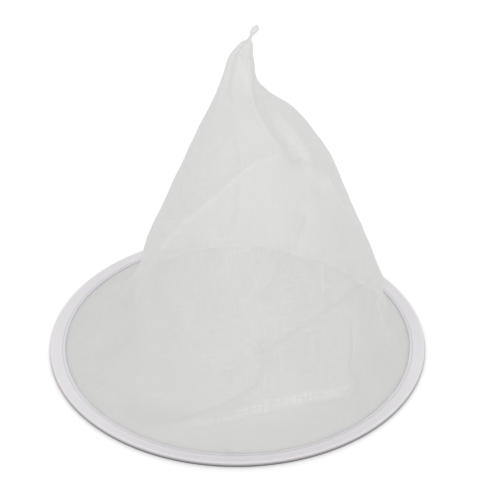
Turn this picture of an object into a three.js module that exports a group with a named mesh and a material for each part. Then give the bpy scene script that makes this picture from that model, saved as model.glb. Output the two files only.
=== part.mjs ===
// A nylon filter bag: one cone of fine mesh cloth, sewn along one seam and pinched shut at its tip. Its open
// mouth is bound in folded tape round a wire hoop, and it stands on that hoop with the tip up.
// Millimetres, +Z up. The origin is the middle of the hoop on the surface it stands on, and -Y is the front.

import * as THREE from 'three';
import { mergeVertices } from 'three/addons/utils/BufferGeometryUtils.js';

// Driving sizes of the rim
const rimDiameter = 300;
const wireDiameter = 2.2;
const tapeWidth = 11.4;
const tapeThickness = 0.4;
const stitchInset = 1.9;
const stitchGrooveWidth = 1;
const stitchGrooveDepth = 0.15;

// Driving sizes of the bag
const bagHeight = 252;
const clothThickness = 0.4;
const seamWidth = 4.4;
const seamThickness = 1.1;
const tailLength = 8;
const tailWidth = 4.4;
const tailThickness = 1.9;
const neckWidth = 2.4;
const tipReach = 12.5;

// Space between one layer and the next
const layerGap = 0.3;

// Fineness of the facets
const rimSteps = 60;
const clothStep = 8.3;
const fewestColumns = 28;

// Places in the rim: the tape is rolled round the wire, and its two legs take the hem of the bag between them
const rimRadius = rimDiameter / 2;
const rollInnerRadius = wireDiameter / 2 + layerGap;
const rollOuterRadius = rollInnerRadius + tapeThickness;
const wireRingRadius = rimRadius - rollOuterRadius;
const tapeEdgeRadius = rimRadius - tapeWidth;
const hemUnderside = tapeThickness + layerGap;
const hemLevel = hemUnderside + clothThickness;
const legUnderside = hemLevel + layerGap;
const legTop = legUnderside + tapeThickness;
const hemRadius = wireRingRadius - wireDiameter / 2 - 2 * layerGap;
const mouthRadius = tapeEdgeRadius - 2 * layerGap;

// The steel wire hoop, hidden in the roll of the tape
function hoopGeometry() {
  const wireSides = 8;
  const ring = new THREE.TorusGeometry(wireRingRadius, wireDiameter / 2, wireSides, rimSteps);
  return ring.translate(0, 0, rollOuterRadius);
}

// The binding tape's section: out along the flat lower leg, up round the wire, in along the upper leg with its
// groove of stitching, and back inside the fold
function tapeSection() {
  const rollTurn = THREE.MathUtils.degToRad(110);
  const legRun = 3 * rollOuterRadius;
  const arcSteps = 5;
  const arc = (radius, from, to) => new THREE.Path()
    .absarc(wireRingRadius, rollOuterRadius, radius, from, to, to < from)
    .getSpacedPoints(arcSteps);
  const legBend = wireRingRadius - legRun;
  const groove = tapeEdgeRadius + stitchInset;
  const outside = arc(rollOuterRadius, -Math.PI / 2, rollTurn);
  const inside = arc(rollInnerRadius, rollTurn, -Math.PI / 2);
  return [
    new THREE.Vector2(tapeEdgeRadius, 0),
    ...outside,
    new THREE.Vector2(legBend, legTop),
    new THREE.Vector2(groove + stitchGrooveWidth / 2, legTop),
    new THREE.Vector2(groove, legTop - stitchGrooveDepth),
    new THREE.Vector2(groove - stitchGrooveWidth / 2, legTop),
    new THREE.Vector2(tapeEdgeRadius, legTop),
    new THREE.Vector2(tapeEdgeRadius, legUnderside),
    new THREE.Vector2(legBend, legUnderside),
    ...inside,
    new THREE.Vector2(tapeEdgeRadius, tapeThickness),
  ];
}

// The binding tape, turned round the rim
function bindingGeometry() {
  const outline = tapeSection();
  outline.push(outline[0].clone());
  const ring = new THREE.LatheGeometry(outline, rimSteps);
  return ring.rotateX(Math.PI / 2);
}

// Sections of the cone above the mouth. up is a share of the height. right, back, wide and deep are shares of
// the mouth's radius: where the middle of the section lies, and its half sizes. seam is the seam's bearing.
const coneSections = [
  { up: 0, right: 0, back: 0, wide: 1, deep: 1, seam: 97 },
  { up: 0.025, right: 0.015, back: 0, wide: 0.94, deep: 0.95, seam: 97 },
  { up: 0.07, right: 0.05, back: 0, wide: 0.84, deep: 0.87, seam: 98 },
  { up: 0.15, right: 0.1, back: 0, wide: 0.73, deep: 0.77, seam: 99 },
  { up: 0.3, right: 0.105, back: 0, wide: 0.645, deep: 0.67, seam: 102 },
  { up: 0.47, right: 0.11, back: 0, wide: 0.508, deep: 0.53, seam: 104 },
  { up: 0.63, right: 0.108, back: 0, wide: 0.374, deep: 0.395, seam: 108 },
  { up: 0.755, right: 0.072, back: 0, wide: 0.23, deep: 0.24, seam: 112 },
  { up: 0.81, right: 0.028, back: 0, wide: 0.14, deep: 0.145, seam: 114 },
  { up: 0.845, right: 0.01, back: 0, wide: 0.092, deep: 0.09, seam: 115 },
  { up: 0.915, right: 0.019, back: 0, wide: 0.056, deep: 0.045, seam: 118 },
];

// Sections of the pinched neck and of the leaf-shaped tail above it, where the cloth is shut
const neckLevel = bagHeight - tailLength;
const crownLevel = THREE.MathUtils.lerp(neckLevel, bagHeight * coneSections.at(-1).up, 0.35);
const tailSections = [
  { level: crownLevel, right: 0.45 * tipReach, wide: 2 * neckWidth, deep: neckWidth },
  { level: neckLevel, right: 0.66 * tipReach, wide: neckWidth / 2, deep: neckWidth / 2 },
  { level: neckLevel + 0.55 * tailLength, right: 0.9 * tipReach, wide: tailWidth / 2, deep: tailThickness / 2 },
  { level: bagHeight, right: tipReach, wide: 0, deep: 0 },
];

// Every section in millimetres, from the mouth to the tip: middle x and y, half sizes, level and seam bearing
const sectionSizes = [
  ...coneSections.map((s) => [
    s.right * mouthRadius,
    s.back * mouthRadius,
    s.wide * mouthRadius,
    s.deep * mouthRadius,
    THREE.MathUtils.lerp(hemLevel, bagHeight, s.up),
    s.seam,
  ]),
  ...tailSections.map((s) => [s.right, 0, s.wide, s.deep, s.level, coneSections.at(-1).seam]),
];

// How far along the cloth each section lies from the mouth, which is what the smooth curve through them runs on
const slants = [0];
for (let i = 1; i < sectionSizes.length; i += 1) {
  const [, , , depthBefore, levelBefore] = sectionSizes[i - 1];
  const [, , , depth, level] = sectionSizes[i];
  slants.push(slants[i - 1] + Math.hypot(depth - depthBefore, level - levelBefore));
}
const sectionWidth = sectionSizes[0].length;
const loft = new THREE.CubicInterpolant(slants, sectionSizes.flat(), sectionWidth);
const tipSlant = slants.at(-1);

// A point of the smooth cone, with the bearing in radians from +X
function conePoint(slant, bearing) {
  const [x, y, wide, deep, level] = loft.evaluate(slant);
  return new THREE.Vector3(x + wide * Math.cos(bearing), y + deep * Math.sin(bearing), level);
}

function meanRadius(slant) {
  const [, , wide, deep] = loft.evaluate(slant);
  return (wide + deep) / 2;
}

// Folds of the slack cloth, each a crease along a path of bearings in degrees and shares of the way from mouth to
// tip. rise is how far its crest stands out of the cone, or lies inside it where it is below nothing.
const foldLines = [
  // Front, from the neck down: the fold beside the neck, its two banks, and the pouch that hangs below them
  { path: [[312, 0.83], [304, 0.77], [304, 0.725], [311, 0.68]], rise: -5, width: 6.5 },
  { path: [[311, 0.9], [297, 0.87], [291, 0.82], [288, 0.755], [295, 0.7]], rise: 2.4, width: 5.5 },
  { path: [[316, 0.77], [318, 0.71], [321, 0.67], [316, 0.64]], rise: 3, width: 7 },
  { path: [[327, 0.606], [332, 0.55], [340, 0.474], [347, 0.413]], rise: 2.6, width: 7 },
  // Front, across the middle: a long slanting crease, a short one under it and a hollow to the right
  { path: [[286, 0.69], [266, 0.67], [248, 0.63], [233, 0.575], [218, 0.5], [205, 0.41]], rise: 2.6, width: 6.5 },
  { path: [[228, 0.53], [210, 0.49], [193, 0.443]], rise: 1.8, width: 7 },
  { path: [[301, 0.545], [288, 0.485], [281, 0.44], [273, 0.39]], rise: -3, width: 7.5 },
  // Front, low down: three creases that meet, then the raised band above the flat cloth at the tape
  { path: [[325, 0.32], [302, 0.33], [287, 0.3], [277, 0.265], [272, 0.235]], rise: -4, width: 8 },
  { path: [[272, 0.235], [266, 0.213], [257, 0.19]], rise: -2.5, width: 7 },
  { path: [[272, 0.235], [271, 0.2], [269, 0.164], [264, 0.13], [256, 0.088]], rise: -3, width: 7 },
  { path: [[243, 0.02], [256, 0.055], [271, 0.084], [284, 0.095], [297, 0.092], [309, 0.1]], rise: 4, width: 8 },
  // The two sides, where the steep cloth turns out to the tape
  { path: [[178, 0.17], [183, 0.12], [192, 0.085]], rise: 4, width: 8 },
  { path: [[192, 0.2], [202, 0.156], [203, 0.106], [198, 0.055]], rise: -3.5, width: 8 },
  { path: [[352, 0.24], [340, 0.2], [338, 0.14], [345, 0.07]], rise: 4, width: 9 },
  { path: [[20, 0.2], [10, 0.13], [4, 0.07]], rise: -3, width: 9 },
  // The back, with the same slack
  { path: [[62, 0.62], [54, 0.47], [58, 0.3], [70, 0.16]], rise: 3, width: 9 },
  { path: [[130, 0.55], [140, 0.4], [133, 0.24]], rise: -3, width: 9 },
  { path: [[118, 0.2], [128, 0.12], [142, 0.06]], rise: 3.5, width: 9 },
  { path: [[84, 0.24], [76, 0.15], [60, 0.08]], rise: -3, width: 9 },
];

// The pleats that gather the cloth at the neck, and the shallow waves of slack above the mouth. from and to are
// shares of the way from mouth to tip.
const pleats = { count: 7, depth: 1.1, from: 0.74, to: 1 };
const waves = { count: 9, depth: 1.5, from: 0.02, to: 0.42 };
const flatEdge = 14;

const folds = foldLines.map(({ path, rise, width }) => {
  const pathSteps = 48;
  const corners = path.map(([bearing, along]) => conePoint(along * tipSlant, THREE.MathUtils.degToRad(bearing)));
  return { points: new THREE.CatmullRomCurve3(corners).getSpacedPoints(pathSteps), rise, width };
});

// How far a point of the cone is pushed out by the folds that pass near it
function foldRise(point) {
  return folds.reduce((sum, { points, rise, width }) => {
    const nearest = Math.min(...points.map((p) => p.distanceToSquared(point)));
    return sum + rise * Math.exp(-nearest / width ** 2);
  }, 0);
}

// How far a set of pleats or waves pushes the cloth out, fading to nothing at both of its ends
function rippleRise({ count, depth, from, to }, along, bearing) {
  const share = THREE.MathUtils.clamp((along - from) / (to - from), 0, 1);
  return depth * Math.sin(Math.PI * share) ** 2 * Math.cos(count * bearing);
}

// The outer face of the cloth: the smooth cone, pushed out or in by its folds, pleats and waves. It stays flat
// where it leaves the tape.
function clothPoint(slant, bearing) {
  const point = conePoint(slant, bearing);
  const along = slant / tipSlant;
  const rise = foldRise(point) + rippleRise(pleats, along, bearing) + rippleRise(waves, along, bearing);
  const [, , wide, deep] = loft.evaluate(slant);
  const ahead = conePoint(Math.min(slant + 1, tipSlant), bearing);
  const around = new THREE.Vector3(-wide * Math.sin(bearing), deep * Math.cos(bearing), 0);
  const out = around.cross(ahead.sub(point)).normalize();
  return point.addScaledVector(out, rise * THREE.MathUtils.smoothstep(slant, 0, flatEdge));
}

// The way out of the cloth at a point, square to its outer face
function clothNormal(slant, bearing) {
  const reach = 0.5;
  const turn = reach / meanRadius(slant);
  const along = clothPoint(Math.min(slant + reach, tipSlant), bearing)
    .sub(clothPoint(Math.max(slant - reach, 0), bearing));
  const around = clothPoint(slant, bearing + turn).sub(clothPoint(slant, bearing - turn));
  return around.cross(along).normalize();
}

// One ring of the cloth as bearings and thicknesses: across the seam first, then on round to it again
function ringColumns(slant) {
  const radius = meanRadius(slant);
  const seam = THREE.MathUtils.degToRad(loft.evaluate(slant)[sectionWidth - 1]);
  const half = Math.min(seamWidth / 2 / radius, 0.4);
  const columns = Math.max(fewestColumns, Math.round(2 * Math.PI * radius / clothStep));
  const rest = 2 * (Math.PI - half);
  const ring = [{ bearing: seam, thickness: seamThickness }];
  for (let i = 0; i <= columns; i += 1) {
    ring.push({ bearing: seam + half + rest * i / columns, thickness: clothThickness });
  }
  return ring;
}

// The slants of the rings of facets, at even steps from each section to the next
function ringSlants(from, to) {
  const steps = slants.slice(1).flatMap((next, i) => {
    const count = Math.max(1, Math.round((next - slants[i]) / clothStep));
    return Array.from({ length: count }, (_, k) => THREE.MathUtils.lerp(slants[i], next, k / count));
  });
  return steps.filter((slant) => slant >= from && slant < to);
}

// Joins two rings of points with triangles, whatever their counts. A ring of one point closes the surface.
function bridge(lower, upper) {
  const triangles = [];
  const share = (ring, i) => (ring.length === 1 ? Infinity : (i + 1) / ring.length);
  let a = 0;
  let b = 0;
  while (a < lower.length || (upper.length > 1 && b < upper.length)) {
    const here = lower[a % lower.length];
    const there = upper[b % upper.length];
    if (a < lower.length && share(lower, a) <= share(upper, b)) {
      a += 1;
      triangles.push(here, lower[a % lower.length], there);
    } else {
      b += 1;
      triangles.push(here, upper[b % upper.length], there);
    }
  }
  return triangles;
}

// The bag: the outer face from hem to tip, the inner face from hem to where the neck is shut, and the hem's edge
function bagGeometry() {
  const closing = THREE.MathUtils.lerp(slants[coneSections.length - 1], slants[coneSections.length], 0.5);
  const hemRing = (level) => ringColumns(0)
    .map(({ bearing }) => new THREE.Vector3(hemRadius * Math.cos(bearing), hemRadius * Math.sin(bearing), level));
  const outer = ringSlants(0, tipSlant).map((slant) => ringColumns(slant)
    .map(({ bearing }) => clothPoint(slant, bearing)));
  const inner = ringSlants(0, closing).map((slant) => ringColumns(slant)
    .map(({ bearing, thickness }) => clothPoint(slant, bearing)
      .addScaledVector(clothNormal(slant, bearing), slant === 0 ? -clothThickness : -thickness)));
  outer.unshift(hemRing(hemLevel));
  inner.unshift(hemRing(hemUnderside));
  const [shutX, shutY, , , shutLevel] = loft.evaluate(closing);
  outer.push([conePoint(tipSlant, 0)]);
  inner.push([new THREE.Vector3(shutX, shutY, shutLevel)]);

  const faces = bridge(inner[0], outer[0]);
  for (let i = 1; i < outer.length; i += 1) {
    faces.push(...bridge(outer[i - 1], outer[i]));
  }
  for (let i = 1; i < inner.length; i += 1) {
    faces.push(...bridge(inner[i - 1], inner[i]).reverse());
  }
  const shell = new THREE.BufferGeometry().setFromPoints(faces);
  return mergeVertices(shell, 1e-4);
}

// A named mesh with its own finish
function piece(name, geometry, finish) {
  const mesh = new THREE.Mesh(geometry, new THREE.MeshStandardMaterial(finish));
  mesh.name = name;
  return mesh;
}

const filterBag = new THREE.Group();
filterBag.add(
  piece('rim_hoop', hoopGeometry(), { color: 0xb4b6ba, roughness: 0.35, metalness: 1 }),
  piece('rim_binding', bindingGeometry(), { color: 0xdcd7dd, roughness: 0.75, metalness: 0 }),
  piece('mesh_bag', bagGeometry(), { color: 0xdededb, roughness: 0.6, metalness: 0 }),
);

export default filterBag;
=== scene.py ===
"""A nylon filter bag that stands on its rim with the tip up: its looks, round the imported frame.

Everything is in metres in the row frame, +Z up, with the origin in the middle of the hoop on the floor and
-Y to the front. The cloth follows the cone, folds and waves of the frame's solid on a finer surface. It sags
at the back too, and some of its folds, its seam and its tail differ a little from the solid's, to be nearer
to the photograph.
"""

import logging
import math
from dataclasses import dataclass
from enum import Enum

import bpy
import numpy as np
from mathutils import Matrix, Vector


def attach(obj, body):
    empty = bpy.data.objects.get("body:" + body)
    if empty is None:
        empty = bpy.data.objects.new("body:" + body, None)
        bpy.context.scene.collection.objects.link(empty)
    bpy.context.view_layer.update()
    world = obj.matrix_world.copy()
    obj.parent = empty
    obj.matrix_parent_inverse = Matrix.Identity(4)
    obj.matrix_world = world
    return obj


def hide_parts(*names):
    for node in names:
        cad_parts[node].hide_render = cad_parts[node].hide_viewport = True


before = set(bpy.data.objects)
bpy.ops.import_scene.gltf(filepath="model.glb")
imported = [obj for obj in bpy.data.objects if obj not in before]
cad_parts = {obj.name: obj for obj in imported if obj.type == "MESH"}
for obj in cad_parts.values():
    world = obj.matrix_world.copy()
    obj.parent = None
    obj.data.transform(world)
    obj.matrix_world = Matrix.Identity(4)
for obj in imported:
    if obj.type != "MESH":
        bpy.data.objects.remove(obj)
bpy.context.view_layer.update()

log = logging.getLogger("filter_bag")

BODY = "root"
MM = 0.001
TURN = 2 * math.pi
RIM_RADIUS = 150 * MM

UV_NAME = "cut"
FOLD_MARK = "fold_mark"
LAYERS = "layers"


# Shader graphs

class Shade:
    """A shader socket that takes part in arithmetic: each operator adds one Math node."""

    def __init__(self, graph: "FinishGraph", socket: bpy.types.NodeSocket) -> None:
        """Wraps a socket.

        Args:
            graph: the graph that the socket's node is in.
            socket: the output socket.
        """
        self.graph = graph
        self.socket = socket

    def _math(self, operation: str, *terms: "Shade | float") -> "Shade":
        """Adds a Math node on the given terms and returns its result."""
        return self.graph.node("ShaderNodeMath", {"operation": operation}, dict(enumerate(terms)))

    def __add__(self, other: "Shade | float") -> "Shade":
        """Self plus other."""
        return self._math("ADD", self, other)

    def __radd__(self, other: float) -> "Shade":
        """Other plus self."""
        return self._math("ADD", other, self)

    def __sub__(self, other: "Shade | float") -> "Shade":
        """Self less other."""
        return self._math("SUBTRACT", self, other)

    def __rsub__(self, other: float) -> "Shade":
        """Other less self."""
        return self._math("SUBTRACT", other, self)

    def __mul__(self, other: "Shade | float") -> "Shade":
        """Self times other."""
        return self._math("MULTIPLY", self, other)

    def __rmul__(self, other: float) -> "Shade":
        """Other times self."""
        return self._math("MULTIPLY", other, self)

    def cosine(self) -> "Shade":
        """The cosine of self."""
        return self._math("COSINE", self)

    def clamped(self, low: float, high: float) -> "Shade":
        """Self, held between low and high."""
        return self._math("MINIMUM", self._math("MAXIMUM", self, low), high)


class FinishGraph:
    """The node tree of one material or world, built node by node."""

    def __init__(self, owner: bpy.types.Material | bpy.types.World) -> None:
        """Empties the tree.

        Args:
            owner: the material or world that the nodes are for.
        """
        self.owner = owner
        owner.use_nodes = True
        self.tree = owner.node_tree
        self.tree.nodes.clear()

    @classmethod
    def for_material(cls, name: str) -> "FinishGraph":
        """The graph of a new material of that name."""
        return cls(bpy.data.materials.new(name))

    def node(
        self,
        kind: str,
        settings: dict[str, object] | None = None,
        sockets: dict[str | int, object] | None = None,
        output: str | int = 0,
    ) -> Shade:
        """Adds a node, sets it up and links it.

        Args:
            kind: the node's type.
            settings: its settings, set first.
            sockets: a value or a Shade for each named or numbered input.
            output: the name or number of the output to return.

        Returns:
            The chosen output.
        """
        made = self.tree.nodes.new(kind)
        for name, value in (settings or {}).items():
            setattr(made, name, value)
        for name, value in (sockets or {}).items():
            if isinstance(value, Shade):
                self.tree.links.new(value.socket, made.inputs[name])
            else:
                made.inputs[name].default_value = value
        return Shade(self, made.outputs[output]) if len(made.outputs) else Shade(self, None)

    def attribute(self, name: str) -> Shade:
        """A number that the mesh carries at its points."""
        return self.node("ShaderNodeAttribute", {"attribute_name": name}, output="Fac")

    def places(self) -> Shade:
        """Object coordinates, in metres."""
        return self.node("ShaderNodeTexCoord", output="Object")

    def cut(self) -> tuple[Shade, Shade]:
        """The two flat coordinates of the piece's own UV map, in metres.

        Returns:
            The first and the second coordinate.
        """
        uv = self.node("ShaderNodeUVMap", {"uv_map": UV_NAME})
        split = self.node("ShaderNodeSeparateXYZ", sockets={0: uv})
        across = Shade(self, split.socket.node.outputs[0])
        along = Shade(self, split.socket.node.outputs[1])
        return across, along

    def vector(self, x: Shade | float, y: Shade | float, z: Shade | float = 0.0) -> Shade:
        """Three numbers as a vector."""
        return self.node("ShaderNodeCombineXYZ", sockets={0: x, 1: y, 2: z})

    def noise(self, place: Shade, scale: float, detail: float = 2.0, roughness: float = 0.5) -> Shade:
        """Smooth noise between 0 and 1.

        Args:
            place: the coordinates that it is read at.
            scale: how many lumps there are to a metre.
            detail: how many finer layers are added.
            roughness: how strong the finer layers are.

        Returns:
            The noise as a number.
        """
        sockets = {"Vector": place, "Scale": scale, "Detail": detail, "Roughness": roughness}
        return self.node("ShaderNodeTexNoise", {"noise_dimensions": "3D"}, sockets, "Fac")

    def mix_colour(self, share: Shade | float, first: tuple | Shade, second: tuple | Shade) -> Shade:
        """A mix of two colours.

        Args:
            share: how much of the second colour there is.
            first: the colour where share is 0.
            second: the colour where share is 1.

        Returns:
            The mixed colour.
        """
        share_input, first_input, second_input, colour_output = 0, 6, 7, 2
        settings = {"data_type": "RGBA", "clamp_factor": True}
        sockets = {share_input: share, first_input: first, second_input: second}
        return self.node("ShaderNodeMix", settings, sockets, colour_output)

    def bump(self, height: Shade, distance: float, strength: float = 1.0) -> Shade:
        """A bumped normal from a height between 0 and 1.

        Args:
            height: the height.
            distance: what a height of 1 is, in metres.
            strength: how much of the bump is used.

        Returns:
            The normal.
        """
        sockets = {"Height": height, "Distance": distance, "Strength": strength}
        return self.node("ShaderNodeBump", sockets=sockets)

    def mix_shader(self, share: Shade | float, first: Shade, second: Shade) -> Shade:
        """A mix of two shaders: the first where share is 0, the second where it is 1."""
        return self.node("ShaderNodeMixShader", sockets={0: share, 1: first, 2: second})

    def finish(self, shader: Shade) -> bpy.types.Material:
        """Links the last shader to the material's output and returns the material."""
        self.node("ShaderNodeOutputMaterial", sockets={"Surface": shader})
        return self.owner

    def light_path(self, *outputs: str) -> list[Shade]:
        """The named outputs of one Light Path node."""
        path = self.node("ShaderNodeLightPath").socket.node
        return [Shade(self, path.outputs[name]) for name in outputs]


def opaque(red: float, green: float, blue: float) -> tuple[float, float, float, float]:
    """A colour with full alpha."""
    return red, green, blue, 1.0


# Finishes

@dataclass(frozen=True)
class MeshClothFinish:
    """Fine nylon mesh: threads that scatter light to both sides, with open holes between them.

    The mesh carries two numbers at its points. The fold mark is above nothing where the cloth is pressed
    dense and below it where it is open, and it makes the colour whiter or greyer there too, in part painted
    highlight and painted shade along the creases. The layers are how much denser it is where it is gathered or
    doubled.
    """

    thread_colour: tuple[float, float, float, float] = opaque(0.87, 0.87, 0.855)
    slub_colour: tuple[float, float, float, float] = opaque(0.96, 0.96, 0.945)
    glow_colour: tuple[float, float, float, float] = opaque(0.90, 0.90, 0.885)
    thread_pitch: float = 0.45 * MM
    open_share: float = 0.34
    glow_share: float = 0.40
    slub_length: float = 18 * MM
    slub_width: float = 1.2 * MM
    clouds_a_metre: float = 34.0
    weave_depth: float = 0.09 * MM
    most_open: float = 0.95

    def material(self) -> bpy.types.Material:
        """Builds the material.

        Returns:
            The material, whose see-through share follows the weave, slubs, creases and layers.
        """
        graph = FinishGraph.for_material("fine_nylon_mesh")
        across, along = graph.cut()
        warp = (across * (TURN / self.thread_pitch)).cosine() * 0.5 + 0.5
        weft = (along * (TURN / self.thread_pitch)).cosine() * 0.5 + 0.5
        holes = (1 - warp) * (1 - weft) * 4
        long_way = 1 / self.slub_length
        short_way = 1 / self.slub_width
        warp_slubs = graph.noise(graph.vector(across * short_way, along * long_way), 1.0, 2.0, 0.6)
        weft_slubs = graph.noise(graph.vector(across * long_way, along * short_way, 7.0), 1.0, 2.0, 0.6)
        cloud = graph.noise(graph.places(), self.clouds_a_metre, 3.0, 0.6)
        mark = graph.attribute(FOLD_MARK)
        layers = graph.attribute(LAYERS)
        uneven = warp_slubs * 0.5 + weft_slubs * 0.5 + cloud * 0.35 - 0.675
        density = uneven * (1 - layers * 1.6).clamped(0.3, 1.0)
        see_through = holes * self.open_share * (1 - density * 3.0 - mark - layers)
        # In part painted highlight and painted shade: the fold mark makes the colour whiter along its lines,
        # greyer where it is below nothing
        whiter = (density * 1.6 + mark * 1.3 + layers * 0.6 + 0.3).clamped(0.0, 1.0)
        colour = graph.mix_colour(whiter, self.thread_colour, self.slub_colour)
        weave_height = warp * 0.5 + weft * 0.5 + density * 0.6
        normal = graph.bump(weave_height, self.weave_depth, 0.6)
        sockets = {
            "Base Color": colour,
            "Roughness": cloud * 0.2 + 0.45,
            "Normal": normal,
            "Sheen Weight": 0.12,
            "Sheen Roughness": 0.5,
            "Specular IOR Level": 0.35,
        }
        threads = graph.node("ShaderNodeBsdfPrincipled", sockets=sockets)
        glow = graph.node("ShaderNodeBsdfTranslucent", sockets={"Color": self.glow_colour})
        cloth = graph.mix_shader(self.glow_share, threads, glow)
        clear = graph.node("ShaderNodeBsdfTransparent")
        return graph.finish(graph.mix_shader(see_through.clamped(0.0, self.most_open), cloth, clear))


@dataclass(frozen=True)
class BindingTapeFinish:
    """Matt white woven tape with a slight lavender cast, its ribs running across it.

    Low on the outside of its roll the colour turns dark grey: painted shade in place of the shadow where the
    roll meets the floor. It ends at the shade's reach round the section, counted from the inner edge of the
    lower leg, and at its front reach further on at the front.
    """

    colour: tuple[float, float, float, float] = opaque(0.855, 0.822, 0.862)
    worn_colour: tuple[float, float, float, float] = opaque(0.895, 0.868, 0.902)
    # Painted shade: dark grey low on the roll's outside, standing in for the floor's contact shadow
    painted_shade_colour: tuple[float, float, float, float] = opaque(0.17, 0.165, 0.175)
    painted_shade_reach: float = 14.3 * MM
    front_painted_shade_reach: float = 0.8 * MM
    painted_shade_fade: float = 2.2 * MM
    rib_pitch: float = 0.6 * MM
    cord_pitch: float = 0.42 * MM
    fibre_length: float = 2 * MM
    fibre_width: float = 2 / 7 * MM
    clouds_a_metre: float = 60.0
    weave_depth: float = 0.10 * MM

    def material(self) -> bpy.types.Material:
        """Builds the material: ribs across the tape, finer cords along it, and painted shade low on its outside.

        Returns:
            The material.
        """
        graph = FinishGraph.for_material("binding_tape")
        around, over = graph.cut()
        ribs = (around * (TURN / self.rib_pitch)).cosine() * 0.5 + 0.5
        cords = (over * (TURN / self.cord_pitch)).cosine() * 0.5 + 0.5
        fibre_place = graph.vector(around * (1 / self.fibre_length), over * (1 / self.fibre_width))
        fibres = graph.noise(fibre_place, 1.0, 2.0)
        cloud = graph.noise(graph.places(), self.clouds_a_metre, 3.0, 0.6)
        worn = (fibres * 0.5 + cloud * 0.9 - 0.25).clamped(0.0, 1.0)
        clean = graph.mix_colour(worn, self.colour, self.worn_colour)
        # Painted shade: the colour darkens low on the roll's outside, further up at the front, in place of the
        # contact shadow
        frontness = (around * (1 / RIM_RADIUS) + TURN / 4).cosine()
        reach = frontness * self.front_painted_shade_reach + self.painted_shade_reach
        painted_shade = ((reach - over) * (1 / self.painted_shade_fade)).clamped(0.0, 1.0)
        colour = graph.mix_colour(painted_shade, clean, self.painted_shade_colour)
        height = ribs * cords * 0.6 + fibres * 0.5
        sockets = {
            "Base Color": colour,
            "Roughness": fibres * 0.2 + 0.65,
            "Normal": graph.bump(height, self.weave_depth, 0.5),
            "Sheen Weight": 0.2,
            "Sheen Roughness": 0.4,
            "Specular IOR Level": 0.25,
        }
        return graph.finish(graph.node("ShaderNodeBsdfPrincipled", sockets=sockets))


@dataclass(frozen=True)
class ThreadFinish:
    """Twisted sewing thread."""

    name: str
    colour: tuple[float, float, float, float]
    groove_shade_colour: tuple[float, float, float, float]
    twist_pitch: float = 0.35 * MM
    twist_depth: float = 0.04 * MM
    fluffs_a_metre: float = 2500.0

    def material(self) -> bpy.types.Material:
        """Builds the material, with the plies' twist as slanting grooves that are painted darker as shade.

        Returns:
            The material.
        """
        graph = FinishGraph.for_material(self.name)
        along, around = graph.cut()
        twist = ((along * (TURN / self.twist_pitch)) + around * (TURN * 2)).cosine() * 0.5 + 0.5
        fluff = graph.noise(graph.places(), self.fluffs_a_metre, 2.0)
        raised = (twist * 0.7 + fluff * 0.3).clamped(0.0, 1.0)
        # Painted shade: the colour darkens in the grooves between the plies
        colour = graph.mix_colour(raised, self.groove_shade_colour, self.colour)
        sockets = {
            "Base Color": colour,
            "Roughness": fluff * 0.2 + 0.5,
            "Normal": graph.bump(twist, self.twist_depth, 0.6),
            "Sheen Weight": 0.15,
            "Specular IOR Level": 0.3,
        }
        return graph.finish(graph.node("ShaderNodeBsdfPrincipled", sockets=sockets))


@dataclass(frozen=True)
class DrawnWireFinish:
    """Plain drawn steel wire, with faint draw lines and a little dulling."""

    colour: tuple[float, float, float, float] = opaque(0.60, 0.61, 0.63)
    dull_colour: tuple[float, float, float, float] = opaque(0.46, 0.46, 0.47)
    lines_a_metre: float = 1800.0
    clouds_a_metre: float = 70.0
    line_depth: float = 0.02 * MM

    def material(self) -> bpy.types.Material:
        """Builds the material on Object coordinates: fine noise for the draw lines, coarse for the dulling.

        Returns:
            The material.
        """
        graph = FinishGraph.for_material("drawn_wire")
        places = graph.places()
        lines = graph.noise(places, self.lines_a_metre, 3.0, 0.7)
        dulling = graph.noise(places, self.clouds_a_metre, 3.0, 0.6)
        colour = graph.mix_colour((dulling * 1.4 - 0.3).clamped(0.0, 1.0), self.colour, self.dull_colour)
        sockets = {
            "Base Color": colour,
            "Metallic": 1.0,
            "Roughness": lines * 0.25 + 0.25,
            "Normal": graph.bump(lines, self.line_depth, 0.4),
        }
        return graph.finish(graph.node("ShaderNodeBsdfPrincipled", sockets=sockets))


@dataclass(frozen=True)
class FloorFinish:
    """A plain white floor that shows as white wherever no shadow falls."""

    colour: tuple[float, float, float, float] = opaque(0.82, 0.82, 0.82)
    lift: float = 0.34

    def material(self) -> bpy.types.Material:
        """Builds the material: a diffuse floor, lifted to white where it is seen, not where it lights.

        Returns:
            The material.
        """
        graph = FinishGraph.for_material("white_floor")
        camera, glossy, layers = graph.light_path("Is Camera Ray", "Is Glossy Ray", "Transparent Depth")
        seen = (camera + glossy - layers).clamped(0.0, 1.0)
        floor = graph.node("ShaderNodeBsdfDiffuse", sockets={"Color": self.colour})
        lift = graph.node("ShaderNodeEmission", sockets={"Strength": seen * self.lift})
        return graph.finish(graph.node("ShaderNodeAddShader", sockets={0: floor, 1: lift}))


# Meshes from grids

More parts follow.
